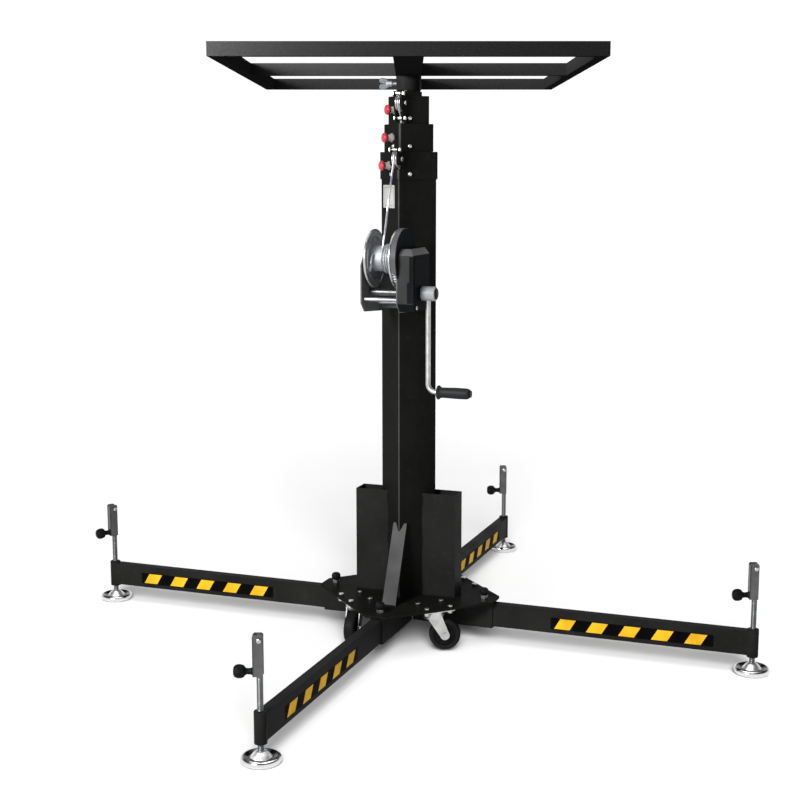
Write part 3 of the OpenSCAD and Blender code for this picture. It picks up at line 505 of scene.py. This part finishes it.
def jack_cranks():
    """A folding channel on a pin, open at its top, with an eight-lobed knob on its web."""
    back, web, web_out, inner, half = -7.5, 11.5, 14.0, 7.8, 10.2
    low, top, cut = -77.0, 11.5, 3.0
    flange = [(back, low), (web_out, low), (web_out, top - cut), (web_out - cut, top), (back + cut, top),
              (back, top - cut)]
    pin_r = 3
    pin_head = [(5, half), (5, half + 0.9), (3.8, half + 1.8), (0.1, half + 2)]
    handle = smooth_line([(9, 0), (7, 4), (6.5, 12), (9, 16), (12.4, 18.6), (13.4, 23), (13.4, 32),
                          (12, 36.6), (8, 39.6), (0.1, 40.5)], 4)
    lobe = smooth_line([(0.05, -9), (2.6, -8), (4.3, -4), (4.6, 0), (4.3, 4), (2.6, 8), (0.05, 9)], 3)
    lobes, lobe_at, lobe_out, knob_drop = 8, 10.4, 27.5, 67.0
    for i in QUARTERS:
        joint = JOINT[f"jack_crank_{i}_fold"]
        fold = Vector(joint["axis"])
        arm = Z.cross(fold)
        pivot = Vector(joint_at(joint["name"]))
        crank = Solid()
        for start in (-half, inner):
            crank.prism(flange, basis(pivot - fold * start, arm, Z), half - inner)
        crank.prism([(-inner, low), (inner, low), (inner, top - cut), (-inner, top - cut)],
                    basis(pivot + arm * web, fold, Z), web - web_out)
        for side in (-1, 1):
            crank.lathe(pin_head, along(pivot, fold * side), 24, 1)
        crank.lathe([(pin_r, -half), (pin_r, half)], along(pivot, fold), 20, 1)
        grip_at = pivot + arm * web_out - Z * knob_drop
        crank.lathe([(0.02, 0), *handle], along(grip_at, arm), 40, 2)
        for k in range(lobes):
            a = 2 * math.pi * k / lobes
            spot = grip_at + arm * lobe_out + lobe_at * (math.cos(a) * fold + math.sin(a) * Z)
            crank.lathe(lobe, along(spot, arm), 12, 2)
        crank.piece(f"jack_crank_arm_{i}", f"jack_crank_{i}", "zinc", "dull_zinc", "zinc", "black_plastic",
                    replaces=[f"jack_crank_{i}"])


def leg_locks():
    """Fluted clamp knobs on threaded screws."""
    tip, head, screw_r, pitch, thread_d = 108.4, 123.0, 5, 1.5, 0.5
    flutes, flute_d = 10, 0.04
    knob = smooth_line([(7, 0), (7.2, 2.6), (9.6, 4.8), (11.4, 8), (11.7, 12.5), (10.9, 17), (8.4, 20.6),
                        (4, 22.1), (0.1, 22.3)], 4)
    for i in QUARTERS:
        x, y, _ = joint_at(f"leg_lock_{i}_turn")
        lock = Solid()
        lock.lathe([(0.02, 0), *knob], Matrix.Translation((x, y, head)), 80, 0, flutes, flute_d)
        threaded_rod(lock, Matrix.Translation((x, y, 0)), tip, head, screw_r, pitch, thread_d, 1, 20)
        lock.piece(f"leg_lock_knob_{i}", f"leg_lock_{i}", "black_plastic", "black_plastic", "zinc",
                   replaces=[f"leg_lock_{i}"])


# Castors

def castor_wheels():
    """A rounded rubber tyre on a moulded hub with six ribs."""
    tyre = smooth_line([(29, -12.6), (31, -13.8), (34.5, -13.9), (37.8, -12.2), (39.5, -8.6), (40, -3.5),
                        (40, 3.5), (39.5, 8.6), (37.8, 12.2), (34.5, 13.9), (31, 13.8), (29, 12.6)], 4)
    hub = [(5.1, -15), (9.5, -15), (11, -13.6), (11.4, -9), (26.6, -9), (27.4, -12.4), (29.2, -12.6),
           (29.2, 12.6), (27.4, 12.4), (26.6, 9), (11.4, 9), (11, 13.6), (9.5, 15), (5.1, 15)]
    ribs, rib_at, rib_l, rib_t, rib_half = 6, 19, 16.5, 3.2, 12
    for i in QUARTERS:
        joint = JOINT[f"castor_wheel_{i}_roll"]
        place = along(joint_at(joint["name"]), joint["axis"])
        wheel = Solid()
        wheel.lathe(tyre, place, 72, loop=True)
        wheel.lathe(hub, place, 48, 1, loop=True)
        for k in range(ribs):
            turned = place @ Matrix.Rotation(2 * math.pi * k / ribs, 4, "Z")
            rib = turned @ Matrix.Translation((rib_at, 0, -rib_half))
            wheel.prism(rounded(rib_l, rib_t, 1.2, 3), rib, 2 * rib_half, 1)
        wheel.piece(f"castor_tyre_{i}", f"castor_wheel_{i}", "wheel_rubber", "wheel_rubber", "black_plastic",
                    replaces=[f"castor_wheel_{i}"])


# Mast

def lock_knobs():
    """Red mushroom knobs on plain pins, and the grey barrel behind each."""
    side, reach = 10.0, {1: 71.2, 2: 63.2, 3: 55.2}
    inner = {1: 45.4, 2: 37.4, 3: 26.4}
    pin_r, barrel_l, barrel_half = 5, 15.1, 12
    cap = smooth_line([(7.6, 1.5), (9, 2.4), (11.2, 4.2), (12.3, 6.6), (12.1, 8.8), (10.4, 11.6), (7, 13),
                       (0.1, 13.3)], 5)
    for k, start in inner.items():
        low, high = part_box(f"lock_plunger_{k}")
        axis = Vector(JOINT[f"lock_plunger_{k}_pull"]["axis"])
        across = Z.cross(axis)
        place = along(across * side + Z * (low.z + high.z) / 2 / MM, axis)
        knob = Solid()
        knob.lathe([(0.02, 1.5 + reach[k]), *[(r, h + reach[k]) for r, h in cap]], place, 40)
        knob.lathe([(pin_r - 1, start), (pin_r, start + 1), (pin_r, reach[k] + 1.6)], place, 28, 1)
        barrel_from = reach[k] - barrel_l
        repaint(NODES[f"collar_hardware_{k}"], "barrel_grey",
                lambda at, to: at.dot(axis) > barrel_from and abs(at.dot(across) - side) < barrel_half)
        knob.piece(f"lock_knob_{k}", f"lock_plunger_{k}", "red_plastic", "red_plastic", "zinc",
                   replaces=[f"lock_plunger_{k}"])


def rating_plate():
    """A bare plate on the mast's left front face, with a printed border and four rivets."""
    mast_half, mid_x, mid_z = 53, -3, 1143
    width, height, corner, film = 68, 57, 2.5, 0.5
    line, line_film, half_w, half_h, rivet_x, rivet_y = 0.5, 0.1, 28, 22, 30.4, 24.8
    rivet = [(1.7, 0), (1.6, 0.5), (0.9, 0.9), (0.1, 1)]
    normal = Vector((-1, -1, 0)).normalized()
    right = Z.cross(normal)
    place = basis(normal * mast_half + right * mid_x + Z * mid_z, right, Z)
    plate = Solid()
    plate.prism(rounded(width, height, corner), place, film)
    border = place @ Matrix.Translation((0, 0, film - 0.05))
    for s in (-1, 1):
        across = border @ Matrix.Translation((0, s * half_h, 0))
        plate.prism(rounded(2 * half_w, line, 0.2, 1), across, line_film, 1)
        upright = border @ Matrix.Translation((s * half_w, 0, 0))
        plate.prism(rounded(line, 2 * half_h, 0.2, 1), upright, line_film, 1)
        for t in (-1, 1):
            plate.lathe(rivet, border @ Matrix.Translation((s * rivet_x, t * rivet_y, 0)), 14, 2)
    plate.piece("rating_plate", "tower", "nylon", "label_film", "black_vinyl", "zinc")


def mast_welds():
    """Stitch welds of the storage pockets and the front brace."""
    seam, stitch, half, out, deck = 47.2, 26, 28.1, 136, 118.6
    thick, thin = 2.4, 1.8
    beads = Solid()
    for sx in (-1, 1):
        for sy in (-1, 1):
            for z in (124, 250, 356):
                beads.weld((sx * seam, sy * half, z), (sx * seam, sy * half, z + stitch), thick)
            beads.weld((sx * 60, sy * half, deck), (sx * 130, sy * half, deck), thick)
        beads.weld((sx * out, -24, deck), (sx * out, 24, deck), thick)
    for y in (-149.4, -142.6):
        beads.weld((-17, y, deck), (17, y, deck), thick)
    for sx in (-1, 1):
        beads.weld((sx * 13.6, -62.6, 312), (sx * 3, -73.4, 286), thin)
    beads.piece("base_welds", "tower", "black_paint", "black_paint")


# Winch and rope

ROPE_R, WRAP_R, SHEAVE_R, TURN_PITCH = 2.5, 34.0, 19.0, 5.3


def rope_strands(solid, path, lay=30.0, strands=6, strand_r=0.86, helix_r=1.72):
    """Twisted strands round a planar or gently curved path."""
    frames = list(frames_along(path))
    for k in range(strands):
        twist = []
        for p, side, up, run in frames:
            a = 2 * math.pi * (run / lay + k / strands)
            twist.append(p + helix_r * (math.cos(a) * side + math.sin(a) * up))
        solid.sweep(twist, strand_r, 6)


def rope_route():
    """Points from the drum's front, over the first sheave and down inside the mast, every few millimetres."""
    line_steps, arc_steps, drop_steps, drop = 90, 24, 24, 2.5
    drum, wheel = (Vector(joint_at(n)) for n in ("rope_drum_turn", "sheave_1_turn"))
    d = wheel - drum
    reach = d.length
    u = d / reach
    tilt = (WRAP_R - SHEAVE_R) / reach
    n = tilt * u + math.sqrt(1 - tilt * tilt) * Vector((0, -u.z, u.y))
    start, end = drum + WRAP_R * n, wheel + SHEAVE_R * n
    line = [start.lerp(end, i / line_steps) for i in range(line_steps + 1)]
    leave = math.atan2(n.z, n.y)
    turns = [leave * (1 - i / arc_steps) for i in range(1, arc_steps + 1)]
    arc = [wheel + SHEAVE_R * Vector((0, math.cos(a), math.sin(a))) for a in turns]
    shown = [arc[-1] - Z * i * drop for i in range(1, drop_steps + 1)]
    return line + arc + shown, shown[-1], leave


def wire_rope():
    """The taut rope to the mast's first sheave, and its turns on the drum, which step over once a turn."""
    count, steps, climb_from = 5, 72, 0.7
    route, hidden_from, leave = rope_route()
    rope = Solid()
    rope_strands(rope, route)
    rope.sweep([hidden_from, Vector((0, hidden_from.y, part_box("wire_rope")[0].z / MM))], ROPE_R - 0.1, 12)
    rope.piece("wire_rope_strands", "tower", "rope_steel", "rope_steel", replaces=["wire_rope"])

    drum = Vector(joint_at("rope_drum_turn"))
    turns = Solid()
    path = []
    for i in range(count * steps + 1):
        whole, part = divmod(i / steps, 1.0)
        climb = min(1.0, max(0.0, (part - climb_from) / (1 - climb_from)))
        x = TURN_PITCH * (part if whole == 0 else whole + climb * climb * (3 - 2 * climb))
        a = leave + 2 * math.pi * i / steps
        path.append(drum + Vector((x, WRAP_R * math.cos(a), WRAP_R * math.sin(a))))
    rope_strands(turns, path, strand_r=0.9, helix_r=1.75)
    turns.piece("drum_rope_turns", "rope_drum", "rope_steel", "rope_steel")


def drum_detail():
    """Rolled flange rims, a pressed ring on each flange and the clamp that holds the rope's end."""
    flange_x, rim_r, roll_r, roll_steps, press_d = 31.5, 68.5, 3, 16, 0.9
    drum = Vector(joint_at("rope_drum_turn"))
    place = along(drum, (1, 0, 0))
    rims = Solid()
    roll = [2 * math.pi * k / roll_steps for k in range(roll_steps)]
    for x in (-flange_x, flange_x):
        ring = [(rim_r + roll_r * math.cos(a), x + roll_r * math.sin(a)) for a in roll]
        rims.lathe(ring, place, 96, loop=True)
    for x, out in ((-30, 1), (-33, -1), (30, -1)):
        raised = x + press_d * out
        rims.lathe([(49, x), (50, raised), (53, raised), (54, x)], place, 96, loop=True)
    clamp = drum + Vector((-29.6, -38, -22))
    rims.prism(rounded(22, 13, 3), basis(clamp, (0, 0.5, 0.86), (0, 0.86, -0.5)), -3)
    rims.piece("drum_rims", "rope_drum", "steel", "zinc")
    hook = Solid()
    end = [(-26, -47, -26), (-24.5, -44, -10), (-24, -40, 4), (-22, -34.6, 12)]
    rope_strands(hook, [drum + p for p in smooth_line(end, 10)], lay=24)
    bolt = [(3.6, 0), (3.6, 2.2), (2.4, 3.1), (0.1, 3.3)]
    for t in (-5, 5):
        hook.lathe(bolt, along(clamp + Vector((2.6, 0.5 * t, 0.86 * t)), (1, 0, 0)), 6, 0)
    hook.piece("rope_clamp", "rope_drum", "rope_steel", "rope_steel")


def crank_hub():
    """The sleeve over the crank's hub, with a dark cap on its end."""
    hub_x = 90
    sleeve = [(0.02, 1), (14, 1), (15.8, 1), (17.2, 2), (17.6, 4), (17.6, 34), (17, 36), (15.4, 37),
              (0.1, 37)]
    cap = [(0.02, 36.5), (13.4, 36.5), (13.4, 38.4), (12.4, 39.2), (0.1, 39.2)]
    place = along((hub_x, *joint_at("winch_crank_turn")[1:]), (1, 0, 0))
    hub = Solid()
    hub.lathe(sleeve, place, 48)
    hub.lathe(cap, place, 40, 1)
    hub.piece("crank_hub_sleeve", "winch_crank", "zinc", "hub_grey", "black_plastic")


def collar_bolts():
    """Domed heads on the four bolts of each collar."""
    dome = smooth_line([(5.6, 0), (5.5, 1.4), (4.4, 3.2), (2.4, 4.3), (0.1, 4.6)], 3)
    collars = (("tower", 53, 1198.5), ("section_2", 45, 1266.5), ("section_3", 37, 1334.5))
    wall, offset = 5.6, 0.46
    for k, (body, half, z) in enumerate(collars, 1):
        heads = Solid()
        for turn, side in ((45, 1), (135, -1), (225, 1), (315, -1)):
            a = math.radians(turn)
            out = Vector((math.cos(a), math.sin(a), 0))
            spot = out * (half + wall) + Z.cross(out) * side * offset * half + Z * z
            heads.lathe([(0.02, 0), *dome], along(spot, out), 24)
        heads.piece(f"collar_bolt_heads_{k}", body, "zinc", "zinc")


def wing_screw():
    """The tray's clamp screw, with two rounded wings."""
    tip, head, lean = 25.0, 41.0, math.radians(48)
    screw_r, pitch, thread_d, wing_t = 4, 1.5, 0.4, 5.2
    middle = Vector((0, 0, joint_at("wing_screw_turn")[2]))
    out = Vector(JOINT["wing_screw_turn"]["axis"])
    across = math.cos(lean) * Z.cross(out) + math.sin(lean) * Z
    screw = Solid()
    place = along(middle, out)
    threaded_rod(screw, place, tip, head, screw_r, pitch, thread_d, 0, 20)
    screw.lathe([(5, head), (7.4, head + 1), (7.4, head + 13), (6, head + 15), (0.1, head + 15.4)], place, 28)
    blade = smooth_line([(0, 3), (6, 9), (15, 14.4), (24, 16), (29, 13), (29.5, 7.5), (25, 3.6), (17, 1.6),
                         (12, 0.2)], 4)
    for side in (-1, 1):
        wing = basis(middle + out * (head + 2), out, across * side) @ Matrix.Translation((0, 0, -wing_t / 2))
        screw.prism(blade, wing, wing_t)
    made = screw.piece("wing_screw_head", "wing_screw", "zinc", "core_steel", replaces=["wing_screw"])
    soften(made, 1.4)


def grip():
    """The crank's moulded grip, closed at its end."""
    grip_x = 132
    profile = smooth_line([(6.1, 0), (15, 0), (17.2, 0.9), (17.5, 2.6), (16.8, 4.6), (14.2, 7), (12.8, 12),
                           (12.9, 24), (13.5, 41), (13.5, 66), (13.1, 74), (11.8, 79.4), (9, 81.6),
                           (0.1, 82)], 4)
    hold = Solid()
    hold.lathe(profile, along((grip_x, *joint_at("crank_grip_turn")[1:]), (1, 0, 0)), 48)
    hold.piece("crank_grip_cover", "crank_grip", "black_plastic", "grip_rubber", replaces=["crank_grip"])


WINCH_BACK, WINCH_DROP, PLATE_IN, PLATE_OUT = -77.0, 128.0, 44.0, 48.0
COVER_OUT, COVER_FRONT, COVER_TOP, COVER_BACK = 88.0, 57.0, 26.0, -92.0


def winch_frame():
    """Two cut side plates, the back plate and the two ribs that reach the mast's faces."""
    drum = Vector(joint_at("rope_drum_turn"))
    low, back_t, back_h, face_line = drum.z - WINCH_DROP, 5, 150, 74.95
    rib_in, rib_out, rib_low, rib_h = 25.5, 30.5, low + 12, 130
    plate_back = WINCH_BACK + 11
    outline = [(plate_back, low - 8), (drum.y - 33, low), (drum.y - 55, low + 22), (drum.y - 55, drum.z - 14),
               (drum.y - 22, drum.z + 26), (drum.y + 24, drum.z + 26), (plate_back, drum.z + 6)]
    plates = Solid()
    for x in (-PLATE_OUT, PLATE_IN):
        plates.prism(outline, basis((x, 0, 0), (0, 1, 0), Z), PLATE_OUT - PLATE_IN)
    back = [(-PLATE_IN, WINCH_BACK - back_t), (PLATE_IN, WINCH_BACK - back_t), (PLATE_IN, WINCH_BACK),
            (-PLATE_IN, WINCH_BACK)]
    plates.prism(back, Matrix.Translation((0, 0, low)), back_h)
    for side in (-1, 1):
        rib = [(side * rib_in, WINCH_BACK), (side * rib_out, WINCH_BACK),
               (side * rib_out, rib_out - face_line), (side * rib_in, rib_in - face_line)]
        plates.prism(rib[::side], Matrix.Translation((0, 0, rib_low)), rib_h)
    made = plates.piece("winch_plates", "tower", "dark_paint", "dark_paint", replaces=["winch_frame"])
    soften(made, 0.9)


def gear_cover():
    """A moulded shell with a sloped roof and sill, the guard disc behind it and the arc over the drum."""
    drum = Vector(joint_at("rope_drum_turn"))
    y0, y1, z0, z1 = drum.y - COVER_FRONT, COVER_BACK, drum.z - WINCH_DROP + 3, drum.z + COVER_TOP
    roof, roof_d, sill, sill_d, wall = 15, 19, 20, 14, 3
    full = [(y0 + sill_d, z0), (y1, z0), (y1, z1), (y0 + roof_d, z1), (y0, z1 - roof), (y0, z0 + sill)]
    end = [*full[:2], (y1, z1 - roof), (y0 + 1.2, z1 - roof), (y0, z1 - roof - 1), full[5]]
    hollow = [(y0 + sill_d + wall, z0 + wall), (y1 - wall, z0 + wall), (y1 - wall, z1 - roof - 2),
              (y0 + wall + 1, z1 - roof - 2), (y0 + wall, z1 - roof - 3), (y0 + wall, z0 + sill + wall)]
    skins = [(COVER_OUT - wall, hollow), (PLATE_OUT, hollow), (PLATE_OUT, full), (COVER_OUT - 12, full),
             (COVER_OUT, end)]
    shell = Solid()
    shell.rings([[Vector((x, y, z)) for y, z in outline] for x, outline in skins])
    made = shell.piece("gear_cover_shell", "tower", "black_plastic", "cover_plastic",
                       replaces=["winch_gear_cover"])
    # Painted light: the cover's front face and its sloped roof get lighter copies of its plastic.
    repaint(made, "grey_plastic", lambda at, to: to.y < -0.9 and at.y < y0 + 1)
    repaint(made, "roof_plastic", lambda at, to: 0.3 < to.z < 0.95 and at.z > z1 - roof)
    soften(made, 1.6)

    guard = Solid()
    disc = [(14, PLATE_OUT), (73, PLATE_OUT), (73, PLATE_OUT + wall), (14, PLATE_OUT + wall)]
    guard.lathe(disc, along((0, drum.y, drum.z), (1, 0, 0)), 96, 1, loop=True)
    band = [(71.8, 36), (74, 36), (74, 49), (71.8, 49)]
    arc = [Vector((0, math.cos(a), math.sin(a))) for a in (math.radians(40 + 5 * k) for k in range(34))]
    guard.rings([[drum + to * r + Vector((x, 0, 0)) for r, x in band] for to in arc])
    # Painted light: the arc over the drum gets the lighter roof plastic.
    guard.piece("drum_guard", "tower", "black_plastic", "roof_plastic", "cover_plastic")


def cover_detail():
    """Screws and pressings of the gear cover and the ring round the crank's shaft."""
    drum, crank = (Vector(joint_at(n)) for n in ("rope_drum_turn", "winch_crank_turn"))
    top, low = drum.z + COVER_TOP, drum.z - WINCH_DROP + 3
    front = drum.y - COVER_FRONT
    cover = Solid()
    face = basis((COVER_OUT, 0, 0), (0, 1, 0), Z)
    panel = rounded(COVER_BACK - front - 16, 62, 5)
    cover.prism(panel, face @ Matrix.Translation(((front + COVER_BACK) / 2 + 2, top - 54, 0)), 1.2)
    boss = along((COVER_OUT, crank.y, crank.z), (1, 0, 0))
    cover.lathe([(16.4, 0), (21, 0), (20.4, 1.2), (19, 1.6), (16.4, 1.6)], boss, 48, loop=True)
    for y in (front + 24, COVER_BACK - 7):
        screw = along((COVER_OUT, y, low + 10), (1, 0, 0))
        cover.lathe([(5, 0), (5, 1.6), (4, 2.6), (2.6, 2.9)], screw, 24, 1)
        # Painted shade: a dark hexagon stands for each screw's socket.
        cover.lathe([(2.5, 2.2), (2.5, 2.95), (0.05, 2.95)], screw, 6, 2)
    inset = [(73, low + 22), (87, low + 22), (87, top - 18), (79, top - 18), (79, drum.z - 52),
             (73, drum.z - 55)]
    cover.prism(inset, basis((0, front, 0), (1, 0, 0), Z), 0.8)
    cover.piece("gear_cover_detail", "tower", "black_plastic", "cover_plastic", "zinc", "black_vinyl")


hazard_stickers()
feet_and_spindles()
jack_cranks()
leg_locks()
castor_wheels()
lock_knobs()
rating_plate()
mast_welds()
wire_rope()
drum_detail()
collar_bolts()
crank_hub()
winch_frame()
gear_cover()
cover_detail()
wing_screw()
grip()


# Studio

CAMERA_TURN = math.radians(20.07)


def studio():
    """A pale floor with its own soft light, a white horizon under a dark ceiling, and softboxes."""
    bpy.ops.mesh.primitive_plane_add(size=24)
    floor = bpy.context.object
    floor.name = "floor"
    floor.data.materials.append(Shader("floor_white", (0.46, 0.46, 0.46), 0.0, 0.8, 0.0).material)

    world = bpy.data.worlds.new("studio")
    bpy.context.scene.world = world
    world.use_nodes = True
    nodes, links = world.node_tree.nodes, world.node_tree.links
    height = nodes.new("ShaderNodeSeparateXYZ")
    links.new(nodes.new("ShaderNodeTexCoord").outputs["Generated"], height.inputs[0])
    fade = nodes.new("ShaderNodeMapRange")
    links.new(height.outputs["Z"], fade.inputs["Value"])
    for key, number in (("From Min", 0.2), ("From Max", 0.55), ("To Min", 1.05), ("To Max", 0.04)):
        fade.inputs[key].default_value = number
    links.new(fade.outputs[0], nodes["Background"].inputs["Strength"])
    nodes["Background"].inputs["Color"].default_value = (1, 1, 1, 1)

    part = [obj for obj in bpy.context.scene.objects if obj.type == "MESH" and obj is not floor]

    def softbox(name, at, aim, size, power, lit, spread=180):
        """A rectangular lamp that lights only the objects in lit."""
        light = bpy.data.lights.new(name, "AREA")
        light.shape = "RECTANGLE"
        light.size, light.size_y = size
        light.energy = power
        light.spread = math.radians(spread)
        place(light, at, aim, lit)

    def place(light, at, aim, lit):
        """Puts a lamp in the scene, aims it and links it to the objects it lights."""
        lamp = bpy.data.objects.new(light.name, light)
        lamp.location = at
        lamp.rotation_euler = (Vector(aim) - Vector(at)).to_track_quat("-Z", "Y").to_euler()
        bpy.context.scene.collection.objects.link(lamp)
        group = bpy.data.collections.new(light.name)
        for obj in lit:
            group.objects.link(obj)
        lamp.light_linking.receiver_collection = group

    for name, rise, wide, power in (("floor_high", 68, 45, 2.55), ("floor_low", 33, 28, 7.8)):
        sun = bpy.data.lights.new(name, "SUN")
        sun.energy = power
        sun.angle = math.radians(wide)
        up = math.tan(math.radians(rise))
        place(sun, (math.sin(CAMERA_TURN), -math.cos(CAMERA_TURN), up), (0, 0, 0), [floor])
    softbox("overhead", (0, 0, 3.3), (0, 0, 0), (2.6, 2.6), 42, part)
    softbox("key", (-0.93, -3.48, 2.2), (0, 0, 0.7), (1.1, 1.1), 235, part)
    feet = [obj for obj in part if obj.name.startswith("foot_disc")]
    softbox("feet_top", (0, 0, 2.6), (0, 0, 0), (3.4, 3.4), 34, feet)
    tray = [NODES["tray_frame"]]
    softbox("tray_left", (-0.6, -1.15, 1.57), (-0.34, -0.44, 1.45), (0.3, 0.3), 85, tray, 100)
    bpy.context.scene.view_settings.view_transform = "Standard"


def camera():
    """The photograph's viewpoint."""
    azimuth, pitch = CAMERA_TURN, math.radians(9.176)
    distance, height = 3.6165, 1.208
    lens = bpy.data.cameras.new("photo_view")
    lens.sensor_width = 36
    lens.lens = 64.02
    lens.shift_x = -0.0109
    made = bpy.data.objects.new("photo_view", lens)
    made.location = (distance * math.sin(azimuth), -distance * math.cos(azimuth), height)
    made.rotation_euler = (math.radians(90) - pitch, 0, azimuth)
    bpy.context.scene.collection.objects.link(made)
    bpy.context.scene.camera = made


studio()
camera()
